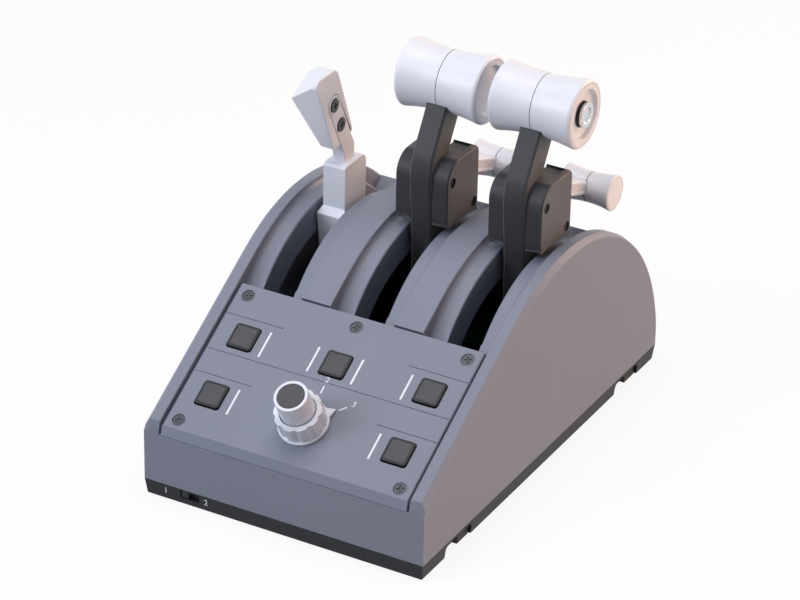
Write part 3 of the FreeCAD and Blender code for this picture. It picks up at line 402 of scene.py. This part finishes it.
lever = {"pivotY": 21.1, "pivotZ": 30.4, "kneeY": 6.2, "kneeZ": 164.4, "kneeSpan": 1.6,
         "kneeRound": 9.5, "kneeSteps": 10, "skirtRadius": 98.5, "skirtReach": 60.0,
         "skirtSteps": 256, "frontSlack": 0.05, "heelDepth": 0.9, "heelRise": 1.2,
         "heelLevel": 0.3, "heelWidth": 0.2, "heelRound": 5.0, "heelSteps": 6}


def roundKnee(piece, nodeName):
    # the arm's front turns at the knee in one long curve
    def atKnee(point):
        return (abs(point.y - lever["kneeY"]) < lever["kneeSpan"]
                and abs(point.z - lever["kneeZ"]) < lever["kneeSpan"])

    if pickEdges(piece, lambda a, b: atKnee(a) and atKnee(b)):
        roundPicked(piece, lever["kneeRound"], lever["kneeSteps"])


def trimSkirt(piece, nodeName):
    # the block's skirt clears the crown by a set radius, and its heel is rounded
    low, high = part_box(nodeName)
    pickNothing()
    bpy.ops.mesh.primitive_cylinder_add(vertices=lever["skirtSteps"],
                                        radius=lever["skirtRadius"] * mm,
                                        depth=lever["skirtReach"] * mm)
    cutter = bpy.context.active_object
    cutter.matrix_world = Matrix.Translation(((low[0] + high[0]) / 2, lever["pivotY"] * mm,
                                              lever["pivotZ"] * mm)
                                             ) @ Matrix.Rotation(math.radians(90), 4, "Y")
    carve(piece, cutter)
    front = low[1] / mm
    heel = min(vertex.co.z for vertex in piece.data.vertices
               if vertex.co.y / mm < front + lever["frontSlack"]) / mm

    def atHeel(a, b):
        return (max(a.y, b.y) < front + lever["heelDepth"]
                and max(a.z, b.z) < heel + lever["heelRise"]
                and abs(a.z - b.z) < lever["heelLevel"]
                and abs(a.x - b.x) > lever["heelWidth"])

    if pickEdges(piece, atHeel):
        roundPicked(piece, lever["heelRound"], lever["heelSteps"])


# each copied node: the piece's name, its finish and its broken edge in millimetres
copies = {
    "main_shell": ("shellMoulding", "texturedSlateAbs", 0),
    "rear_cover": ("rearCoverMoulding", "texturedSlateAbs", 0.25),
    "control_panel": ("panelMoulding", "texturedSlateAbs", 0),
    "base_tray": ("trayMoulding", "texturedBlackAbs", 0),
    "speedbrake_lever": ("speedbrakeLeverMoulding", "satinWhiteAbs", 0.5),
    "speedbrake_grip": ("speedbrakeGripMoulding", "satinWhiteAbs", 0.7),
    "encoder_knob": ("encoderKnobMoulding", "frostedPolycarbonate", 0.3),
    "selector_ring": ("selectorRingMoulding", "frostedPolycarbonate", 0.2),
    "selector_push_cap": ("pushCapMoulding", "ribbedKeyAbs", 0.15),
    "slide_switch_slider": ("sliderMoulding", "satinCharcoalAbs", 0.2),
    "rubber_feet": ("feetMoulding", "mouldedRubber", 0.5),
}
for side in ("left", "right"):
    copies[side + "_thrust_arm"] = (side + "ArmMoulding", "satinCharcoalAbs", 0.4)
    copies[side + "_block_left"] = (side + "BlockLeftMoulding", "satinCharcoalAbs", 0.3)
    copies[side + "_block_right"] = (side + "BlockRightMoulding", "satinCharcoalAbs", 0.3)
    copies[side + "_handle_left"] = (side + "HandleLeftMoulding", "satinWhiteAbs", 0.15)
    copies[side + "_handle_right"] = (side + "HandleRightMoulding", "satinWhiteAbs", 0.15)
    copies[side + "_reverser_arm"] = (side + "ReverserArmMoulding", "satinWhiteAbs", 0.4)
    copies[side + "_reverser_knob_left"] = (side + "ReverserKnobLeft", "satinWhiteAbs", 0.12)
    copies[side + "_reverser_knob_right"] = (side + "ReverserKnobRight", "satinWhiteAbs", 0.12)
    copies[side + "_button"] = (side + "ButtonCap", "turnedStainlessSteel", 0.25)
    copies[side + "_button_collar"] = (side + "ButtonCollar", "texturedBlackAbs", 0.2)
reshapes = {"control_panel": roundKeyHoles}
for side in ("left", "right"):
    reshapes[side + "_thrust_arm"] = roundKnee
    reshapes[side + "_block_left"] = trimSkirt
    reshapes[side + "_block_right"] = trimSkirt
moulded = {}
for nodeName, (pieceName, finishName, edgeMm) in copies.items():
    moulded[nodeName] = softenedCopy(nodeName, pieceName, finishName, edgeMm,
                                     reshapes.get(nodeName))
say("moulded pieces")

slotReach = {"middles": (-60.0, 0.0, 60.0), "width": 20.0, "start": 100.2, "end": 116.0,
             "low": -34.0, "high": -2.0}
for place in slotReach["middles"]:
    # each slot opens right up to the panel's rear edge
    cutter = addBlock("slotCutter", (slotReach["width"], slotReach["end"] - slotReach["start"],
                                     slotReach["high"] - slotReach["low"]))
    cutter.matrix_world = panelFrame @ Matrix.Translation(
        (place * mm, (slotReach["start"] + slotReach["end"]) / 2 * mm,
         (slotReach["low"] + slotReach["high"]) / 2 * mm))
    carve(moulded["main_shell"], cutter)
evenNormals(moulded["main_shell"])
say("slot ends")

# how far a face must turn out of the panel to take the painted highlight
selector = {"paintedHighlightFacing": 0.8}
outOfPanel = (panelFrame.to_3x3() @ Vector((0, 0, 1))).normalized()
for nodeName in ("encoder_knob", "selector_ring"):
    # the faces turned out of the panel get the white finish over the frosted body: a painted
    # highlight on the rim tops
    turned = moulded[nodeName]
    turned.data.materials.append(finish["satinWhiteAbs"])
    for face in turned.data.polygons:
        if face.normal.dot(outOfPanel) > selector["paintedHighlightFacing"]:
            face.material_index = 1
say("selector rims")

screwHead = {"radius": 3.75, "height": 1.2, "sink": 0.15, "edge": 0.4, "slot": 0.95,
             "slotLength": 4.3, "slotDepth": 0.9, "slotTurns": (20, 110), "steps": 40,
             "overDegrees": 60, "ringOuter": 4.5, "ringInner": 3.9, "ringDepth": 0.3,
             "ringSteps": 48,
             "spots": ((-71.0, 5.7), (71.0, 5.7), (-71.0, 92.4), (71.0, 92.4), (0.0, 92.4))}


def placedOn(piece, placement):
    # turns and moves the piece, then puts that place into its mesh
    makeActive(piece)
    piece.matrix_world = placement @ piece.matrix_world
    bpy.ops.object.transform_apply(location=True, rotation=True, scale=True)


def crossHead(name, placement):
    # a screw head seen from outside: a disc with a broken edge and a cross recess
    pickNothing()
    bpy.ops.mesh.primitive_cylinder_add(vertices=screwHead["steps"],
                                        radius=screwHead["radius"] * mm,
                                        depth=screwHead["height"] * mm)
    head = bpy.context.active_object
    head.name = name
    for turn in screwHead["slotTurns"]:
        bit = addBlock("bit", (screwHead["slotLength"], screwHead["slot"],
                               2 * screwHead["slotDepth"]))
        bit.matrix_world = (Matrix.Translation((0, 0, screwHead["height"] / 2 * mm))
                            @ Matrix.Rotation(math.radians(turn), 4, "Z"))
        carve(head, bit)
    breakEdges(head, screwHead["edge"], screwHead["overDegrees"], True)
    placedOn(head, placement)
    return head


def seatRing(name, placement):
    # the flat land that closes the sink round a screw head
    pickNothing()
    bpy.ops.mesh.primitive_circle_add(vertices=screwHead["ringSteps"],
                                      radius=screwHead["ringOuter"] * mm)
    ring = bpy.context.active_object
    ring.name = name
    bpy.ops.object.mode_set(mode="EDIT")
    bpy.ops.mesh.select_all(action="SELECT")
    bpy.ops.mesh.extrude_region_move()
    share = screwHead["ringInner"] / screwHead["ringOuter"]
    bpy.ops.transform.resize(value=(share, share, share))
    bpy.ops.mesh.select_all(action="SELECT")
    bpy.ops.mesh.normals_make_consistent(inside=False)
    bpy.ops.object.mode_set(mode="OBJECT")
    wall = ring.modifiers.new("wall", "SOLIDIFY")
    wall.thickness = screwHead["ringDepth"] * mm
    wall.offset = 0
    bpy.ops.object.modifier_apply(modifier="wall")
    placedOn(ring, placement)
    return ring


def joined(pieces, name):
    makeActive(pieces[0])
    for piece in pieces[1:]:
        piece.select_set(True)
    bpy.ops.object.join()
    pieces[0].name = name
    pieces[0].data.name = name
    return pieces[0]


def finished(piece, bodyName, finishName):
    piece.data.materials.clear()
    piece.data.materials.append(finish[finishName])
    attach(piece, bodyName)


heads = []
lands = []
top = -(screwHead["sink"] + screwHead["height"] / 2)
for index, (across, along) in enumerate(screwHead["spots"]):
    heads.append(crossHead("panelScrew%d" % index, panelFrame @ Matrix.Translation(
        (across * mm, along * mm, top * mm))))
    lands.append(seatRing("panelLand%d" % index, panelFrame @ Matrix.Translation(
        (across * mm, along * mm, -screwHead["ringDepth"] / 2 * mm))))
panelScrews = joined(heads, "panelScrewHeads")
evenNormals(panelScrews)
finished(panelScrews, "housing", "blackOxideSteel")
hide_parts("panel_screws")
panelLands = joined(lands, "panelScrewLands")
finished(panelLands, "housing", "texturedSlateAbs")
say("panel screws")

keyCap = {"size": 15.7, "height": 2.6, "proud": 1.2, "corner": 2.0, "cornerSteps": 5,
          "edge": 0.7, "edgeSteps": 3, "upright": 1, "topSlack": 0.01, "topNormal": 0.99,
          "topInset": 0.9, "topSink": 0.12}
# smooth near-black ABS round the ribbed top
finish["keyRimAbs"] = mouldedPlastic("satinKeyRimAbs", {
    "colour": "#17181b", "shade": "#131417", "roughness": 0.45, "spread": 0.05, "grainMm": 0.5,
    "grainStrength": 0.15, "driftMm": 10, "ior": 1.4})
for name in keyNames:
    # a square cap with round corners, a smooth dark rim and a textured top
    nodeName = "key_" + name
    low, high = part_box(nodeName)
    middleOfKey = panelFrame.inverted() @ ((low + high) / 2)
    cap = addBlock("keyCap_" + name, (keyCap["size"], keyCap["size"], keyCap["height"]))
    pickEdges(cap, lambda a, b: abs(a.z - b.z) > keyCap["upright"])
    roundPicked(cap, keyCap["corner"], keyCap["cornerSteps"])
    pickEdges(cap, lambda a, b: min(a.z, b.z) > keyCap["height"] / 2 - keyCap["topSlack"])
    roundPicked(cap, keyCap["edge"], keyCap["edgeSteps"])
    makeActive(cap)
    bpy.ops.object.mode_set(mode="EDIT")
    bpy.ops.mesh.select_mode(type="FACE")
    bpy.ops.mesh.select_all(action="DESELECT")
    bpy.ops.object.mode_set(mode="OBJECT")
    for face in cap.data.polygons:
        face.select = face.normal.z > keyCap["topNormal"]
    bpy.ops.object.mode_set(mode="EDIT")
    bpy.ops.mesh.inset(thickness=keyCap["topInset"] * mm, depth=-keyCap["topSink"] * mm)
    bpy.ops.object.mode_set(mode="OBJECT")
    topFaces = [face.index for face in cap.data.polygons if face.select]
    placedOn(cap, panelFrame @ Matrix.Translation(
        (middleOfKey.x, middleOfKey.y, (keyCap["proud"] - keyCap["height"] / 2) * mm)))
    evenNormals(cap)
    finished(cap, bodyOf[nodeName], "keyRimAbs")
    cap.data.materials.append(finish["ribbedKeyAbs"])
    for index in topFaces:
        cap.data.polygons[index].material_index = 1
    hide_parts(nodeName)
say("keys")

seam = {"width": 0.4, "wall": 0.5, "proud": 0.03, "steps": 96, "handleRadius": 18.0,
        "knobRadius": 9.2}


def seamBand(name, leftNode, rightNode, gripRadius):
    # the dark joint line between the two halves of a turned grip
    low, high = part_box(leftNode)
    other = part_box(rightNode)[0]
    pickNothing()
    bpy.ops.mesh.primitive_circle_add(vertices=seam["steps"],
                                      radius=(gripRadius + seam["proud"]) * mm,
                                      rotation=(0, math.radians(90), 0))
    band = bpy.context.active_object
    band.name = name
    bpy.ops.object.transform_apply(location=False, rotation=True, scale=False)
    bpy.ops.object.mode_set(mode="EDIT")
    bpy.ops.mesh.select_mode(type="EDGE")
    bpy.ops.mesh.select_all(action="SELECT")
    bpy.ops.mesh.extrude_region_move(
        TRANSFORM_OT_translate={"value": (seam["width"] * mm, 0, 0)})
    bpy.ops.mesh.select_all(action="SELECT")
    bpy.ops.mesh.normals_make_consistent(inside=False)
    bpy.ops.object.mode_set(mode="OBJECT")
    wall = band.modifiers.new("wall", "SOLIDIFY")
    wall.thickness = seam["wall"] * mm
    wall.offset = -1
    bpy.ops.object.modifier_apply(modifier="wall")
    placedOn(band, Matrix.Translation(((high[0] + other[0]) / 2 - seam["width"] / 2 * mm,
                                       (low[1] + high[1]) / 2, (low[2] + high[2]) / 2)))
    evenNormals(band)
    finished(band, bodyOf[leftNode], "texturedBlackAbs")


for side in ("left", "right"):
    seamBand(side + "HandleSeam", side + "_handle_left", side + "_handle_right",
             seam["handleRadius"])
    seamBand(side + "SpoolSeam", side + "_reverser_knob_left", side + "_reverser_knob_right",
             seam["knobRadius"])
say("grip seams")

pocket = {"depth": 1.2, "thickness": 1.0, "rearGap": 3.0, "frontGap": 13.6, "edge": 0.3,
          "lands": {"A": (-14.0, -8.9), "B": (1.9, 14.0)}}
for side in ("left", "right"):
    # ledges in the top of each block, either side of the reverser's slot
    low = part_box(side + "_block_left")[0]
    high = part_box(side + "_block_right")[1]
    for letter, (fromX, toX) in pocket["lands"].items():
        plate = addBlock(side + "PocketLedge" + letter,
                         (toX - fromX, pocket["frontGap"] - pocket["rearGap"],
                          pocket["thickness"]))
        inEdit(plate, lambda: bpy.ops.mesh.bevel(offset=pocket["edge"] * mm, segments=2,
                                                 affect="EDGES"))
        placedOn(plate, Matrix.Translation(
            ((low[0] + high[0]) / 2 + (fromX + toX) / 2 * mm,
             high[1] - (pocket["frontGap"] + pocket["rearGap"]) / 2 * mm,
             high[2] - (pocket["depth"] + pocket["thickness"] / 2) * mm)))
        evenNormals(plate)
        finished(plate, bodyOf[side + "_block_left"], "satinCharcoalAbs")
say("block pockets")

slotFinish = {
    "shell_plastic": "texturedSlateAbs", "panel_plastic": "texturedSlateAbs",
    "dark_plastic": "texturedBlackAbs", "white_plastic": "satinWhiteAbs",
    "key_plastic": "ribbedKeyAbs", "ring_plastic": "frostedPolycarbonate",
    "rubber": "mouldedRubber", "steel": "turnedStainlessSteel",
    "black_steel": "blackOxideSteel", "brass": "turnedBrass", "board": "circuitLaminate",
    "switch": "satinCharcoalAbs",
}
slotOf = {item["node"]: item["material_slot"] for item in frame["record"]["subparts"]}
for nodeName, node in nodes.items():
    node.data.materials.clear()
    node.data.materials.append(finish[slotFinish[slotOf[nodeName]]])
say("finishes on the carried-over nodes")

marks = {"width": 1.25, "length": 16.8, "thickness": 0.06,
         "bars": [(-46.0, 65.8), (-14.4, 65.8), (13.9, 65.8), (45.6, 65.6), (-46.0, 25.8),
                  (45.2, 25.5)],
         "selectorV": 26.2, "tickWidth": 0.8, "tickStart": 20.6, "tickEnd": 25.4,
         "ticks": {"3": 42, "2": 90, "1": 138}, "numberSize": 5.0, "numberReach": 29.5}


def printed(piece, placement):
    placedOn(piece, placement)
    finished(piece, "housing", "printedWhiteInk")


def inkBar(name, across, along, width, length, turnDegrees=0.0):
    bar = addBlock(name, (width, length, marks["thickness"]))
    spot = Matrix.Translation((across * mm, along * mm, marks["thickness"] / 2 * mm))
    printed(bar, panelFrame @ spot @ Matrix.Rotation(math.radians(turnDegrees), 4, "Z"))


def inkNumber(name, label, sizeMm, halfThickMm, placement):
    pickNothing()
    bpy.ops.object.text_add()
    number = bpy.context.active_object
    number.name = name
    number.data.body = label
    number.data.size = sizeMm * mm
    number.data.extrude = halfThickMm * mm
    number.data.align_x = "CENTER"
    number.data.align_y = "CENTER"
    bpy.ops.object.convert(target="MESH")
    printed(bpy.context.active_object, placement)


for index, (across, along) in enumerate(marks["bars"]):
    inkBar("keyMark%d" % (index + 1), across, along, marks["width"], marks["length"])
for index, (label, angle) in enumerate(marks["ticks"].items()):
    # a tick and its number for each place of the selector
    reach = (marks["tickStart"] + marks["tickEnd"]) / 2
    turn = math.radians(angle)
    inkBar("selectorTick%d" % (index + 1), reach * math.cos(turn),
           marks["selectorV"] + reach * math.sin(turn), marks["tickWidth"],
           marks["tickEnd"] - marks["tickStart"], angle - 90)
    spot = Matrix.Translation((marks["numberReach"] * math.cos(turn) * mm,
                               (marks["selectorV"] + marks["numberReach"] * math.sin(turn)) * mm,
                               marks["thickness"] / 2 * mm))
    inkNumber("selectorNumber%d" % (index + 1), label, marks["numberSize"],
              marks["thickness"] / 2, panelFrame @ spot)

switchMarks = {"places": {"1": (-76.0, 6.3), "2": (-49.5, 6.3)}, "size": 5.2,
               "halfThick": 0.3, "inset": 0.6, "leanDegrees": 95.4}
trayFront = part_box("base_tray")[0].y
for label, (across, height) in switchMarks["places"].items():
    # plain numbers for the slide switch's two positions, along the tray's leaning front
    spot = Matrix.Translation((across * mm, trayFront + switchMarks["inset"] * mm, height * mm))
    inkNumber("switchNumber" + label, label, switchMarks["size"], switchMarks["halfThick"],
              spot @ Matrix.Rotation(math.radians(switchMarks["leanDegrees"]), 4, "X"))
say("printed marks")

# floor, light and camera
studio = {
    "floorSize": 8.0, "floorSeen": "#ffffff", "floorBounce": "#b4b4b6", "floorGlow": 0.88,
    "worldColour": "#dfe8ff", "worldStrength": 0.08, "lookAt": (0, 0, 0.1),
    "lamps": {
        "topPanel": {"place": (0, 0, 1.6), "size": 1.2, "power": 13.5, "colour": "#fffafa"},
        "frontLeftPanel": {"place": (-1.0, -1.2, 0.9), "size": 1.0, "power": 14,
                           "colour": "#eef2ff"},
        "frontHighPanel": {"place": (-0.3, -1.2, 1.5), "size": 1.0, "power": 6,
                           "colour": "#f4f6ff"},
        "warmSide": {"place": (1.6, 0.2, 0.3), "size": 0.9, "power": 10, "colour": "#ffdcc4"},
        "warmRear": {"place": (0.9, 1.4, 0.4), "size": 1.0, "power": 19, "colour": "#ffcfae"},
    },
}


def seenDirectly(tree):
    # 1 for rays from the camera or off a gloss, 0 for the light that falls on the object
    rays = addNode(tree, "ShaderNodeLightPath")
    return addNode(tree, "ShaderNodeMath", {"operation": "MAXIMUM"},
                   {0: rays.outputs["Is Camera Ray"], 1: rays.outputs["Is Glossy Ray"]}
                   ).outputs[0]


pickNothing()
bpy.ops.mesh.primitive_plane_add(size=studio["floorSize"])
floor = bpy.context.active_object
floor.name = "studioFloor"
paint, tree = newMaterial("paleStudioFloor")
seen = seenDirectly(tree)
sheet = addNode(tree, "ShaderNodeMix", {"data_type": "RGBA"}, {"Factor": seen})
sheet.inputs[mixFrom].default_value = linear(studio["floorBounce"])
sheet.inputs[mixTo].default_value = linear(studio["floorSeen"])
matt = addNode(tree, "ShaderNodeBsdfDiffuse", None, {"Color": sheet.outputs[mixResult]})
glow = addNode(tree, "ShaderNodeEmission", {"Color": (1, 1, 1, 1), "Strength": 1.0})
share = addNode(tree, "ShaderNodeMath", {"operation": "MULTIPLY"}, {0: seen})
share.inputs[1].default_value = studio["floorGlow"]
blend = addNode(tree, "ShaderNodeMixShader", None,
                {0: share.outputs[0], 1: matt.outputs["BSDF"], 2: glow.outputs["Emission"]})
addNode(tree, "ShaderNodeOutputMaterial", None, {"Surface": blend.outputs["Shader"]})
floor.data.materials.append(paint)

world = bpy.data.worlds.new("studioWorld")
bpy.context.scene.world = world
world.use_nodes = True
tree = world.node_tree
tree.nodes.clear()
dim = addNode(tree, "ShaderNodeBackground",
              {"Color": linear(studio["worldColour"]), "Strength": studio["worldStrength"]})
white = addNode(tree, "ShaderNodeBackground", {"Color": (1, 1, 1, 1), "Strength": 1.0})
blend = addNode(tree, "ShaderNodeMixShader", None,
                {0: seenDirectly(tree), 1: dim.outputs[0], 2: white.outputs[0]})
addNode(tree, "ShaderNodeOutputWorld", None, {"Surface": blend.outputs[0]})

lookAt = Vector(studio["lookAt"])
for name, lamp in studio["lamps"].items():
    light = bpy.data.lights.new(name, "AREA")
    light.shape = "DISK"
    light.size = lamp["size"]
    light.energy = lamp["power"]
    light.color = linear(lamp["colour"])[:3]
    holder = bpy.data.objects.new(name, light)
    bpy.context.scene.collection.objects.link(holder)
    holder.location = lamp["place"]
    aim = lookAt - Vector(lamp["place"])
    holder.rotation_euler = aim.to_track_quat("-Z", "Y").to_euler()

cameraValues = {"place": (0.8979, -1.6438, 1.1096), "turn": (61.262, -1.0166, 29.392),
                "lens": 167.06, "sensor": 36.0}
cameraData = bpy.data.cameras.new("productCamera")
cameraData.lens = cameraValues["lens"]
cameraData.sensor_width = cameraValues["sensor"]
camera = bpy.data.objects.new("productCamera", cameraData)
bpy.context.scene.collection.objects.link(camera)
camera.location = cameraValues["place"]
camera.rotation_euler = Euler([math.radians(angle) for angle in cameraValues["turn"]], "XYZ")
bpy.context.scene.camera = camera
bpy.context.scene.view_settings.view_transform = "Standard"
say("studio")
